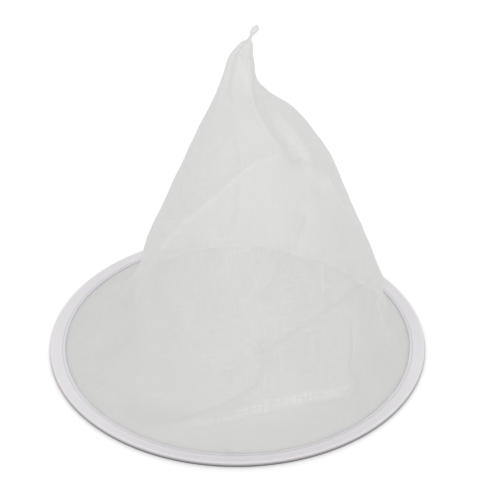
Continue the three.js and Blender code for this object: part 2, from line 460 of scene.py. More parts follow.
def grid_object(
    name: str,
    points: np.ndarray,
    uv: np.ndarray,
    material: bpy.types.Material,
    rows_close: bool = False,
    columns_close: bool = False,
    tip: np.ndarray | None = None,
    numbers: dict[str, np.ndarray] | None = None,
) -> bpy.types.Object:
    """Makes a mesh from a grid of points.

    The face at row i and column j joins (i, j), (i, j+1), (i+1, j+1) and (i+1, j), counted round where the
    rows or columns close. A tip closes the last row with triangles.

    Args:
        name: the object's name.
        points: rows by columns by 3, in metres.
        uv: flat coordinates at the corners, with one more row or column than points where those close.
        material: the mesh's material.
        rows_close: whether the last row joins the first.
        columns_close: whether the last column joins the first.
        tip: one more point above the last row.
        numbers: point attributes by name, each rows by columns.

    Returns:
        The new object, linked to the scene, with smooth shading.
    """
    rows, columns = points.shape[:2]
    low = np.arange(rows if rows_close else rows - 1)[:, None]
    left = np.arange(columns if columns_close else columns - 1)[None, :]
    corners = [(low, left), (low, left + 1), (low + 1, left + 1), (low + 1, left)]
    flat = [np.broadcast_arrays(i, j) for i, j in corners]
    quads = np.stack([(i % rows) * columns + j % columns for i, j in flat], -1).reshape(-1, 4)
    quad_uv = np.stack([uv[i, j] for i, j in flat], -2).reshape(-1, 4, 2)
    vertices = points.reshape(-1, 3)
    loops, loop_uv = quads.ravel(), quad_uv.reshape(-1, 2)
    sizes = np.full(len(quads), 4)
    if tip is not None:
        last, across = rows - 1, left.ravel()
        fan = np.stack([last * columns + across, last * columns + (across + 1) % columns], -1)
        fan = np.concatenate([fan, np.full((len(fan), 1), len(vertices))], 1)
        middle = np.broadcast_to(uv[-1].mean(axis=0), (len(across), 2))
        fan_uv = np.stack([uv[last, across], uv[last, across + 1], middle], 1)
        vertices = np.concatenate([vertices, tip[None]])
        loops = np.concatenate([loops, fan.ravel()])
        loop_uv = np.concatenate([loop_uv, fan_uv.reshape(-1, 2)])
        sizes = np.concatenate([sizes, np.full(len(fan), 3)])
    mesh = mesh_from_arrays(name, vertices, loops, sizes, loop_uv)
    for title, values in (numbers or {}).items():
        flat_values = values.ravel()
        if tip is not None:
            flat_values = np.append(flat_values, values[-1].mean())
        mesh.attributes.new(title, "FLOAT", "POINT").data.foreach_set("value", flat_values.astype(np.float32))
    mesh.materials.append(material)
    made = bpy.data.objects.new(name, mesh)
    bpy.context.scene.collection.objects.link(made)
    return made


def mesh_from_arrays(
    name: str, vertices: np.ndarray, loops: np.ndarray, sizes: np.ndarray, loop_uv: np.ndarray
) -> bpy.types.Mesh:
    """Fills a mesh from whole arrays.

    Args:
        name: the mesh's name.
        vertices: the points, n by 3.
        loops: the corners' points, face after face.
        sizes: how many corners each face has.
        loop_uv: flat coordinates for each corner.

    Returns:
        The mesh, smooth and with its UV map.
    """
    mesh = bpy.data.meshes.new(name)
    mesh.vertices.add(len(vertices))
    mesh.vertices.foreach_set("co", vertices.astype(np.float32).ravel())
    mesh.loops.add(len(loops))
    mesh.loops.foreach_set("vertex_index", loops.astype(np.int32))
    mesh.polygons.add(len(sizes))
    starts = np.concatenate([[0], np.cumsum(sizes)[:-1]])
    mesh.polygons.foreach_set("loop_start", starts.astype(np.int32))
    mesh.polygons.foreach_set("use_smooth", np.ones(len(sizes), bool))
    mesh.uv_layers.new(name=UV_NAME)
    mesh.uv_layers[UV_NAME].data.foreach_set("uv", loop_uv.astype(np.float32).ravel())
    mesh.update(calc_edges=True)
    mesh.validate()
    return mesh


def tube_points(path: np.ndarray, side: np.ndarray, radius: np.ndarray | float, sides: int) -> np.ndarray:
    """The skin of a tube: at each point of the path, a circle square to the path.

    Args:
        path: the middle line, n by 3.
        side: a direction for each point that isn't along the path, n by 3.
        radius: one radius, or one for each point.
        sides: how many points go round.

    Returns:
        The points, sides by n by 3, which turn so that the faces point outwards.
    """
    ahead = np.gradient(path, axis=0)
    ahead /= np.linalg.norm(ahead, axis=1, keepdims=True)
    first = side - ahead * np.sum(side * ahead, axis=1, keepdims=True)
    first /= np.linalg.norm(first, axis=1, keepdims=True)
    second = np.cross(ahead, first)
    angle = np.arange(sides)[:, None, None] * (TURN / sides)
    size = np.broadcast_to(radius, len(path))[None, :, None]
    return path[None] + size * (np.cos(angle) * first[None] - np.sin(angle) * second[None])


def thread_object(
    name: str,
    path: np.ndarray,
    side: np.ndarray,
    radius: np.ndarray | float,
    sides: int,
    along: np.ndarray,
    material: bpy.types.Material,
    closed: bool = False,
) -> bpy.types.Object:
    """Makes a thread along a path.

    Args:
        name: the object's name.
        path: the middle line, n by 3, whose last point is the first again where it is closed.
        side: a direction for each point that isn't along the path, n by 3.
        radius: one radius, or one for each point.
        sides: how many points go round.
        along: the length up to each point, for the UV map.
        material: the thread's material.
        closed: whether the thread is a ring.

    Returns:
        The thread.
    """
    skin = tube_points(path, side, radius, sides)
    uv = np.stack(np.broadcast_arrays(along, np.linspace(0, 1, sides + 1)[:, None]), -1)
    skin = skin[:, :-1] if closed else skin
    return grid_object(name, skin, uv, material, rows_close=True, columns_close=closed)


def stitch_crown(angle: np.ndarray, steepness: float) -> np.ndarray:
    """How far a thread is out of its holes: 0 in the hole at each half turn of angle, and 1 between them."""
    return np.clip(np.abs(np.sin(angle)) * steepness, 0, 1)


def smooth_step(value: np.ndarray, low: float, high: float) -> np.ndarray:
    """0 below low, 1 above high, and 3x² - 2x³ between."""
    share = np.clip((value - low) / (high - low), 0, 1)
    return share * share * (3 - 2 * share)


# The rim

@dataclass(frozen=True)
class RimSizes:
    """Sizes of the rim, with the places that follow from them."""

    radius: float = RIM_RADIUS
    wire_diameter: float = 2.2 * MM
    tape_width: float = 11.4 * MM
    tape_thickness: float = 0.4 * MM
    stitch_inset: float = 1.9 * MM
    layer_gap: float = 0.3 * MM
    cloth_thickness: float = 0.4 * MM
    stitch_count: int = 294

    @property
    def roll_inner(self) -> float:
        """Radius of the inside of the roll round the wire."""
        return self.wire_diameter / 2 + self.layer_gap

    @property
    def roll_outer(self) -> float:
        """Radius of the outside of the roll."""
        return self.roll_inner + self.tape_thickness

    @property
    def wire_ring(self) -> float:
        """Radius of the hoop's middle line."""
        return self.radius - self.roll_outer

    @property
    def tape_edge(self) -> float:
        """Radius of the tape's inner edge."""
        return self.radius - self.tape_width

    @property
    def hem_level(self) -> float:
        """Top of the hem between the tape's legs."""
        return self.tape_thickness + self.layer_gap + self.cloth_thickness

    @property
    def leg_top(self) -> float:
        """Top of the tape's upper leg."""
        return self.hem_level + self.layer_gap + self.tape_thickness

    @property
    def hem_radius(self) -> float:
        """Radius of the hem's edge inside the tape."""
        return self.wire_ring - self.wire_diameter / 2 - 2 * self.layer_gap

    @property
    def mouth_radius(self) -> float:
        """Radius at which the cloth leaves the tape."""
        return self.tape_edge - 2 * self.layer_gap

    @property
    def stitch_ring(self) -> float:
        """Radius of the row of stitches."""
        return self.tape_edge + self.stitch_inset


@dataclass
class RimBinding:
    """The binding tape: one strip folded round the wire and stitched through both legs.

    edge_waves are how many waves its inner edge has round the rim, with the phase and strength of each set.
    """

    sizes: RimSizes
    finish: BindingTapeFinish = BindingTapeFinish()
    steps_a_stitch: int = 6
    dimple_depth: float = 0.09 * MM
    dimple_width: float = 0.75 * MM
    edge_waver: float = 0.16 * MM
    pucker: float = 0.05 * MM
    pinch: float = 0.24 * MM
    pressed_edge: float = 0.22 * MM
    roll_bulge: float = 1.25
    roll_turn: float = math.radians(112)
    pressed_width: float = 1.6 * MM
    round_edge: float = 0.05 * MM
    edge_waves: tuple[tuple[int, float, float], ...] = ((5, 0.6, 1.0), (13, 2.0, 0.7), (31, 0.0, 0.5))

    def section(self) -> np.ndarray:
        """The tape's section: out along the lower leg, round the wire, in along the upper leg, back inside.

        Returns:
            Points of radius, level and how much of the upper leg's stitching each takes, n by 3.
        """
        s = self.sizes
        roll_turn, round_edge = self.roll_turn, self.round_edge
        leg_bend = s.wire_ring - 3 * s.roll_outer
        under_leg = s.leg_top - s.tape_thickness

        def arc(radius: float, start: float, end: float, steps: int) -> np.ndarray:
            """An arc round the wire, whose outer half bulges.

            Args:
                radius: its radius.
                start: the angle that it starts at, from straight outwards.
                end: the angle that it ends at.
                steps: how many points it has.

            Returns:
                Its points, steps by 3.
            """
            angle = np.linspace(start, end, steps)
            out = np.cos(angle)
            out = np.where(out > 0, out * self.roll_bulge, out)
            around = [s.wire_ring + radius * out, s.roll_outer + radius * np.sin(angle)]
            return np.stack([*around, np.zeros(steps)], -1)

        def leg(start: float, end: float, level: float, share: float, steps: int) -> np.ndarray:
            """A straight run of a leg."""
            radius = np.linspace(start, end, steps)
            return np.stack([radius, np.full(steps, level), np.full(steps, share)], -1)

        edge = s.tape_edge
        upper = leg(leg_bend, edge + 2 * round_edge, s.leg_top, 1, 15)
        upper[:, 1] -= self.pressed_edge * (1 - smooth_step(upper[:, 0], edge, edge + self.pressed_width))
        return np.concatenate([
            leg(edge + round_edge, s.wire_ring - s.roll_outer, 0.0, 0, 3),
            arc(s.roll_outer, -math.pi / 2, roll_turn, 13),
            upper,
            [[edge, s.leg_top - self.pressed_edge - round_edge, 1], [edge, under_leg + round_edge, 1]],
            leg(edge + round_edge, leg_bend, under_leg, 1, 4),
            arc(s.roll_inner, roll_turn, -math.pi / 2, 7),
            [[edge + round_edge, s.tape_thickness, 0], [edge, s.tape_thickness / 2, 0]],
        ])

    def build(self) -> bpy.types.Object:
        """Turns the section round the rim, with a dimple at each stitch and a slight waver of the edge.

        Returns:
            The tape.
        """
        s = self.sizes
        section = self.section()
        columns = s.stitch_count * self.steps_a_stitch
        bearing = np.arange(columns + 1) * (TURN / columns)
        radius, level, share = (section[:, k][:, None] for k in range(3))
        near_stitch = np.exp(-((radius - s.stitch_ring) / self.dimple_width) ** 2)
        beat = 0.55 + 0.45 * np.cos(bearing * s.stitch_count)
        sink = self.dimple_depth * near_stitch * beat * share
        slow = sum(strength * np.sin(bearing * count + phase) for count, phase, strength in self.edge_waves)
        quick = np.sin(bearing * 97 + 1.1) * np.sin(bearing * 7) + 0.6 * np.sin(bearing * 153 + 0.4)
        flat_part = 1 - smooth_step(radius, s.stitch_ring, s.wire_ring - s.roll_outer)
        radius = radius + self.edge_waver * slow * flat_part / 2
        level = level - sink + self.pucker * quick * share * (0.4 + 0.6 * flat_part)
        near_edge = 1 - smooth_step(radius, s.stitch_ring - MM, s.stitch_ring + 2 * MM)
        level = level - self.pinch * share * near_edge
        ring = np.stack([radius * np.cos(bearing), radius * np.sin(bearing), level + 0 * bearing], -1)
        closed = np.concatenate([section, section[:1]])
        length = np.concatenate([[0], np.cumsum(np.hypot(*np.diff(closed[:, :2], axis=0).T))])
        around = np.broadcast_to(bearing * s.radius, (len(length), columns + 1))
        uv = np.stack([around, np.broadcast_to(length[:, None], around.shape)], -1)
        material = self.finish.material()
        tape = grid_object("binding_tape", ring[:, :-1], uv, material, rows_close=True, columns_close=True)
        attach(tape, BODY)
        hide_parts("rim_binding")
        return tape


class StitchSide(Enum):
    """Which face of the tape a row of stitches is on."""

    TOP = "top"
    UNDER = "under"


@dataclass
class BindingStitches:
    """The stitches through the tape, on one of its faces: a thread that dives in at each end of a stitch."""

    sizes: RimSizes
    side: StitchSide
    finish: ThreadFinish
    thread_radius: float = 0.14 * MM
    steps_a_stitch: int = 9
    thread_sides: int = 6
    dive: float = 0.5 * MM
    steepness: float = 3.2
    sunk: float = 0.02 * MM

    def build(self) -> bpy.types.Object:
        """Carries the thread's section round the rim.

        The level rises from the hole at each end of a stitch to a low crown between them.

        Returns:
            The row of stitches.
        """
        s = self.sizes
        count = s.stitch_count * self.steps_a_stitch
        bearing = np.arange(count + 1) * (TURN / count)
        depth = self.dive * (1 - stitch_crown(bearing * s.stitch_count / 2, self.steepness))
        if self.side is StitchSide.TOP:
            level = s.leg_top - self.sunk - depth
        else:
            level = self.thread_radius + 0.5 * depth
        ring = s.stitch_ring
        path = np.stack([ring * np.cos(bearing), ring * np.sin(bearing), level], -1)
        side = np.stack([np.cos(bearing), np.sin(bearing), 0 * bearing], -1)
        name = f"binding_stitches_{self.side.value}"
        along, material = bearing * ring, self.finish.material()
        row = thread_object(name, path, side, self.thread_radius, self.thread_sides, along, material, True)
        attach(row, BODY)
        return row


# The bag

@dataclass(frozen=True)
class Fold:
    """A crease along a path on the cone.

    path is bearings in degrees and shares of the way from mouth to tip. rise is how far the crest stands out
    of the cone, or lies inside it where it is below nothing. mark is how much denser the pressed cloth is
    along it, or how much more open where it is below nothing; the cloth's colour is also whiter or greyer by
    it, in part painted highlight and painted shade.
    """

    path: tuple[tuple[float, float], ...]
    rise: float
    width: float
    mark: float = 0.0


@dataclass(frozen=True)
class Ripple:
    """Pleats or waves round the cone, between two shares of the way from mouth to tip."""

    count: int
    depth: float
    start: float
    end: float


# Sections of the cone above the mouth: share of the height, then shares of the mouth's radius for the
# middle's place to the right and the half width and half depth, and the seam's bearing in degrees
CONE_SECTIONS = np.array([
    [0.000, 0.000, 1.000, 1.000, 104],
    [0.025, 0.015, 0.940, 0.950, 104],
    [0.070, 0.050, 0.840, 0.870, 104],
    [0.150, 0.100, 0.730, 0.770, 103],
    [0.300, 0.105, 0.645, 0.670, 101],
    [0.470, 0.110, 0.508, 0.530, 104],
    [0.630, 0.108, 0.374, 0.395, 113],
    [0.755, 0.072, 0.230, 0.240, 119],
    [0.810, 0.028, 0.140, 0.145, 120],
    [0.845, 0.010, 0.092, 0.090, 120],
    [0.915, 0.019, 0.056, 0.045, 120],
])

def folds(*rows: tuple) -> tuple[Fold, ...]:
    """Folds from rows of a path, a rise and a width in millimetres, and a mark where there is one."""
    return tuple(Fold(path, rise * MM, width * MM, *mark) for path, rise, width, *mark in rows)


# The slack cloth's main folds, on the same lines as the frame's solid and here and there lower
MAIN_FOLDS = folds(
    (((312, 0.83), (304, 0.77), (304, 0.725), (311, 0.68)), -5, 6.5),
    (((311, 0.9), (297, 0.87), (291, 0.82), (288, 0.755), (295, 0.7)), 2.4, 5.5),
    (((316, 0.77), (318, 0.71), (321, 0.67), (316, 0.64)), 3, 7),
    (((327, 0.606), (332, 0.55), (340, 0.474), (347, 0.413)), 2.6, 7),
    (((286, 0.69), (266, 0.67), (248, 0.63), (233, 0.575), (218, 0.5), (205, 0.41)), 1.4, 6.5),
    (((228, 0.53), (210, 0.49), (193, 0.443)), 1.2, 7),
    (((301, 0.545), (288, 0.485), (281, 0.44), (273, 0.39)), -3, 7.5),
    (((325, 0.32), (302, 0.33), (287, 0.3), (277, 0.265), (272, 0.235)), -2.4, 8),
    (((272, 0.235), (266, 0.213), (257, 0.19)), -1.2, 7),
    (((272, 0.235), (271, 0.2), (269, 0.164), (264, 0.13), (256, 0.088)), -1.6, 7),
    (((243, 0.02), (256, 0.055), (271, 0.084), (284, 0.095), (297, 0.092), (309, 0.1)), 4, 8),
    (((178, 0.17), (183, 0.12), (192, 0.085)), 4, 8),
    (((192, 0.2), (202, 0.156), (203, 0.106), (198, 0.055)), -3.5, 8),
    (((352, 0.24), (340, 0.2), (338, 0.14), (345, 0.07)), 4, 9),
    (((20, 0.2), (10, 0.13), (4, 0.07)), -3, 9),
    (((62, 0.62), (54, 0.47), (58, 0.3), (70, 0.16)), 3, 9),
    (((130, 0.55), (140, 0.4), (133, 0.24)), -3, 9),
    (((118, 0.2), (128, 0.12), (142, 0.06)), 3.5, 9),
    (((84, 0.24), (76, 0.15), (60, 0.08)), -3, 9),
)

# Where the back of the cloth sags before it turns up, which the frame's solid leaves out
SAGS = folds(
    (((26, 0.065), (50, 0.068), (90, 0.068), (125, 0.08), (150, 0.1)), -7.5, 11),
)

# Sharper creases on the main folds' crests and hollows, ridges of the tail, and bands of denser or more open
# cloth, which have no rise, all too fine for the frame's solid. Their marks also make the cloth whiter or
# greyer along the lines, in part painted highlight and painted shade
FINE_CREASES = folds(
    (((294, 0.89), (301, 0.839), (290, 0.8), (289, 0.743), (295, 0.705)), 1.1, 1.6, 0.3),
    (((331, 0.827), (308, 0.727), (315, 0.67)), -1.2, 1.8, -0.1),
    (((325, 0.822), (309, 0.745), (316, 0.693), (318, 0.671), (313, 0.639)), 0.9, 1.7, 0.2),
    (((265, 0.924), (285, 0.89), (292, 0.854)), 0.8, 1.3, 0.3),
    (((287, 0.692), (269, 0.682), (248, 0.631), (237, 0.589), (226, 0.537), (207, 0.41)), 1.1, 1.5, 0.3),
    (((195, 0.447), (215, 0.498), (227, 0.521)), 0.8, 1.3, 0.3),
    (((302, 0.533), (290, 0.48), (283, 0.447), (274, 0.387)), -1.2, 1.6, -0.1),
    (((306, 0.43), (304, 0.394), (303, 0.351)), 0.8, 1.2, 0.3),
    (((330, 0.31), (306, 0.308), (283, 0.273), (271, 0.227)), -2.0, 1.4, -0.15),
    (((269, 0.22), (265, 0.204), (256, 0.182)), -1.0, 1.3, -0.1),
    (((271, 0.219), (271, 0.196), (270, 0.167), (265, 0.139), (259, 0.109), (250, 0.067)), -1.3, 1.4, -0.1),
    (((246, 0.024), (259, 0.059), (274, 0.09), (291, 0.097), (306, 0.078), (309, 0.098)), -1.1, 1.5, -0.15),
    (((195, 0.086), (181, 0.075), (175, 0.094), (183, 0.149), (195, 0.156), (199, 0.117)), -1.1, 1.5, -0.1),
    (((201, 0.235), (199, 0.137), (201, 0.102)), -1.2, 1.6, -0.1),
    (((340, 0.23), (338, 0.117)), 1.2, 1.8, 0.3),
    (((315, 0.255), (314, 0.189), (311, 0.132)), -1.2, 1.6, -0.1),
    (((250, 0.045), (262, 0.08), (277, 0.108), (292, 0.114), (305, 0.094)), 0.0, 5.5, 0.5),
    (((232, 0.03), (255, 0.035), (275, 0.045), (292, 0.05), (312, 0.045)), 0.0, 11, -0.5),
    (((327, 0.606), (332, 0.55), (340, 0.474), (347, 0.413)), 1.0, 1.6, 0.4),
    (((150, 0.957), (185, 0.959), (220, 0.957)), 0.7, 0.8, 0.1),
    (((150, 0.94), (185, 0.942), (220, 0.94)), -0.6, 0.8, 0.1),
    (((88, 0.08), (110, 0.088), (128, 0.104), (142, 0.13), (152, 0.155)), 0.6, 4.0, -0.6),
    (((26, 0.074), (50, 0.077), (72, 0.078), (92, 0.078)), -2.2, 1.7, 0.5),
)

PLEATS = Ripple(7, 1.1 * MM, 0.74, 1.0)
WAVES = Ripple(9, 1.5 * MM, 0.02, 0.42)

# The crumples: the lengths of their waves, how many waves have each length, and their depth as a share of it
CRUMPLE_WAVES = (52 * MM, 38 * MM, 30 * MM, 24 * MM, 19 * MM, 15 * MM, 12 * MM)
CRUMPLES_A_WAVE = 3
CRUMPLE_DEPTH = 0.0035
CRUMPLE_SEED = 7

# Steps between two corners of a fold's path, and points along the whole of it
CURVE_STEPS = 24
LINE_POINTS = 49


# How far up the cone its seam can be told from the gathers, as a share of the way from mouth to tip
SEAM_END = 0.93


@dataclass(frozen=True)
class BagSizes:
    """Sizes of the bag, whose tail is a little higher and wider than the frame's solid."""

    height: float = 253.2 * MM
    tail_length: float = 9.3 * MM
    tail_width: float = 5.8 * MM
    tail_thickness: float = 1.9 * MM
    neck_width: float = 2.4 * MM
    tip_reach: float = 12.9 * MM
    flat_edge: float = 14 * MM
    seam_width: float = 4.4 * MM
    cut_radius: float = 300 * MM


class ConeShape:
    """The bag's surface as a function of slant, the way up the cloth from the mouth, and bearing from +X."""

    def __init__(self, rim: RimSizes, bag: BagSizes) -> None:
        """Works out the sections and the slants that the smooth curve through them runs on.

        Args:
            rim: the rim's sizes.
            bag: the bag's sizes.
        """
        self.rim = rim
        self.bag = bag
        up, right, wide, deep, seam = CONE_SECTIONS.T
        level = rim.hem_level + (bag.height - rim.hem_level) * up
        radius = rim.mouth_radius
        cone = np.stack([right * radius, wide * radius, deep * radius, level, np.radians(seam)], -1)
        neck_level = bag.height - bag.tail_length
        crown_level = neck_level + 0.35 * (bag.height * up[-1] - neck_level)
        last_seam = cone[-1, -1]
        # The pinched neck, then the leaf-shaped tail up to its point
        tail = np.array([
            [0.45 * bag.tip_reach, 2 * bag.neck_width, bag.neck_width, crown_level, last_seam],
            [0.66 * bag.tip_reach, bag.neck_width / 2, bag.neck_width / 2, neck_level, last_seam],
            [0.9 * bag.tip_reach, bag.tail_width / 2, bag.tail_thickness / 2,
             neck_level + 0.58 * bag.tail_length, last_seam],
            [0.97 * bag.tip_reach, 0.37 * bag.tail_width, 0.35 * bag.tail_thickness,
             neck_level + 0.86 * bag.tail_length, last_seam],
            [bag.tip_reach, 0, 0, bag.height, last_seam],
        ])
        self.rows = np.concatenate([cone, tail])
        steps = np.hypot(np.diff(self.rows[:, 2]), np.diff(self.rows[:, 3]))
        self.slants = np.concatenate([[0], np.cumsum(steps)])
        self.tip_slant = self.slants[-1]
        self.main = [self.crease_line(fold) for fold in MAIN_FOLDS + SAGS]
        self.fine = [self.crease_line(fold) for fold in FINE_CREASES]

    def loft(self, slant: np.ndarray) -> np.ndarray:
        """The section at each slant: one cubic in each gap, whose slopes come from the sections next to it.

        Args:
            slant: slants of any shape.

        Returns:
            Middle x, half width, half depth, level and seam bearing, in one more dimension.
        """
        knots, rows = self.slants, self.rows
        last = len(knots) - 1
        after = np.clip(np.searchsorted(knots, slant, side="right"), 1, last)
        here = after - 1
        start, end = knots[here], knots[after]
        far_low = np.where(here == 0, after, here - 1)
        far_high = np.where(after == last, here, np.minimum(after + 1, last))
        half = (end - start) / 2
        lean_low = half / (start - knots[far_low])
        lean_high = half / (knots[far_high] - end)
        p = (slant - start) / (end - start)
        shares = (
            (-lean_low * p**3 + 2 * lean_low * p**2 - lean_low * p, far_low),
            ((1 + lean_low) * p**3 - (1.5 + 2 * lean_low) * p**2 + (lean_low - 0.5) * p + 1, here),
            (-(1 + lean_high) * p**3 + (1.5 + lean_high) * p**2 + 0.5 * p, after),
            (lean_high * p**3 - lean_high * p**2, far_high),
        )
        return sum(share[..., None] * rows[index] for share, index in shares)

    def cone_point(self, slant: np.ndarray, bearing: np.ndarray) -> np.ndarray:
        """Points of the smooth cone."""
        x, wide, deep, level, _ = np.moveaxis(self.loft(slant), -1, 0)
        return np.stack([x + wide * np.cos(bearing), deep * np.sin(bearing), level], -1)

    def crease_line(self, fold: Fold) -> tuple[np.ndarray, Fold]:
        """The points of a fold's path: a centripetal curve through its corners on the cone, at even steps.

        Args:
            fold: the fold.

        Returns:
            The points and the fold.
        """
        bearing, along = np.array(fold.path).T
        corners = self.cone_point(along * self.tip_slant, np.radians(bearing))
        ends = 2 * corners[[0, -1]] - corners[[1, -2]]
        nodes = np.concatenate([ends[:1], corners, ends[1:]])
        gap = np.sqrt(np.linalg.norm(np.diff(nodes, axis=0), axis=1))[:, None]
        d0, d1, d2 = gap[:-2], gap[1:-1], gap[2:]
        p0, p1, p2, p3 = nodes[:-3], nodes[1:-2], nodes[2:-1], nodes[3:]
        lean_in = ((p1 - p0) / d0 - (p2 - p0) / (d0 + d1) + (p2 - p1) / d1) * d1
        lean_out = ((p2 - p1) / d1 - (p3 - p1) / (d1 + d2) + (p3 - p2) / d2) * d1
        t = np.linspace(0, 1, CURVE_STEPS, endpoint=False)[None, :, None]
        a, b, c, d = (k[:, None] for k in (p1, p2, lean_in, lean_out))
        curve = a + c * t + (3 * (b - a) - 2 * c - d) * t**2 + (2 * (a - b) + c + d) * t**3
        curve = np.concatenate([curve.reshape(-1, 3), corners[-1:]])
        length = np.concatenate([[0], np.cumsum(np.linalg.norm(np.diff(curve, axis=0), axis=1))])
        even = np.linspace(0, length[-1], LINE_POINTS)
        return np.stack([np.interp(even, length, curve[:, k]) for k in range(3)], -1), fold

    @staticmethod
    def distance(points: np.ndarray, line: np.ndarray, reach: float) -> np.ndarray:
        """How far each point is from a line of points, or a large number where it is out of reach.

        Args:
            points: n by 3.
            line: m by 3.
            reach: how far away still counts.

        Returns:
            n distances.
        """
        low, high = line.min(axis=0) - reach, line.max(axis=0) + reach
        near = np.all((points > low) & (points < high), axis=1)
        found = points[near]
        best = np.full(len(found), np.inf)
        for start, end in zip(line[:-1], line[1:]):
            run = end - start
            share = np.clip((found - start) @ run / (run @ run), 0, 1)
            best = np.minimum(best, np.linalg.norm(found - start - share[:, None] * run, axis=1))
        gaps = np.full(len(points), 1.0)
        gaps[near] = best
        return gaps

    def rises(self, points: np.ndarray) -> tuple[np.ndarray, np.ndarray]:
        """How far the folds push points of the cone out, and how much denser the cloth is there.

        A main fold is a round rise, a Gaussian of the distance to its line. A fine crease has a sharp crest,
        an exponential of that distance.

        Args:
            points: n by 3.

        Returns:
            The rises and the marks, n of each.
        """
        rise, mark = np.zeros(len(points)), np.zeros(len(points))
        for line, fold in self.main:
            gap = self.distance(points, line, 3.5 * fold.width)
            rise += fold.rise * np.exp(-(gap / fold.width) ** 2)
        for line, fold in self.fine:
            gap = self.distance(points, line, 6 * fold.width)
            rise += fold.rise * np.exp(-gap / fold.width)
            mark += fold.mark * np.exp(-(gap / fold.width) ** 2)
        return rise, mark

    @staticmethod
    def ripple(ripple: Ripple, along: np.ndarray, bearing: np.ndarray) -> np.ndarray:
        """Waves round the cone that fade to nothing at both of their ends."""
        share = np.clip((along - ripple.start) / (ripple.end - ripple.start), 0, 1)
        return ripple.depth * np.sin(math.pi * share) ** 2 * np.cos(ripple.count * bearing)

    @staticmethod
    def crumple(points: np.ndarray) -> np.ndarray:
        """The cloth's faint crumples: a sum of seeded plane waves, sharpened at their crests.

        Args:
            points: n by 3.

        Returns:
            How far each point is pushed out, in metres.
        """
        chance = np.random.default_rng(CRUMPLE_SEED)
        total = np.zeros(len(points))
        for wave in CRUMPLE_WAVES:
            for _ in range(CRUMPLES_A_WAVE):
                way = chance.normal(size=3)
                way /= np.linalg.norm(way)
                phase = points @ way * (TURN / wave) + chance.uniform(0, TURN)
                total += (wave * CRUMPLE_DEPTH) * (1 - 2 * np.abs(np.sin(phase / 2)))
        return total

    def surface(self, slant: np.ndarray, bearing: np.ndarray) -> tuple[np.ndarray, np.ndarray]:
        """The cloth: the smooth cone pushed out by its folds, pleats, waves and crumples, flat at the tape.

        Args:
            slant: slants, rows by columns.
            bearing: bearings, rows by columns.

        Returns:
            The points and the fold marks.
        """
        smooth = self.cone_point(slant, bearing)
        flat = smooth.reshape(-1, 3)
        rise, mark = self.rises(flat)
        along = slant / self.tip_slant
        fade = smooth_step(slant, 0, self.bag.flat_edge)
        neck_fade = 1 - smooth_step(along, 0.8, 0.95)
        push = rise.reshape(slant.shape)
        push = push + self.ripple(PLEATS, along, bearing) + self.ripple(WAVES, along, bearing)
        push = push + self.crumple(flat).reshape(slant.shape) * neck_fade
        _, wide, deep, _, _ = np.moveaxis(self.loft(slant), -1, 0)
        around = np.stack([-wide * np.sin(bearing), deep * np.cos(bearing), 0 * wide], -1)
        ahead = self.cone_point(np.minimum(slant + MM, self.tip_slant), bearing) - smooth
        out = np.cross(around, ahead)
        out /= np.maximum(np.linalg.norm(out, axis=-1, keepdims=True), 1e-12)
        cloth_middle = self.rim.cloth_thickness / 2
        points = smooth + out * (push * fade - cloth_middle)[..., None]
        return points, mark.reshape(slant.shape) * fade


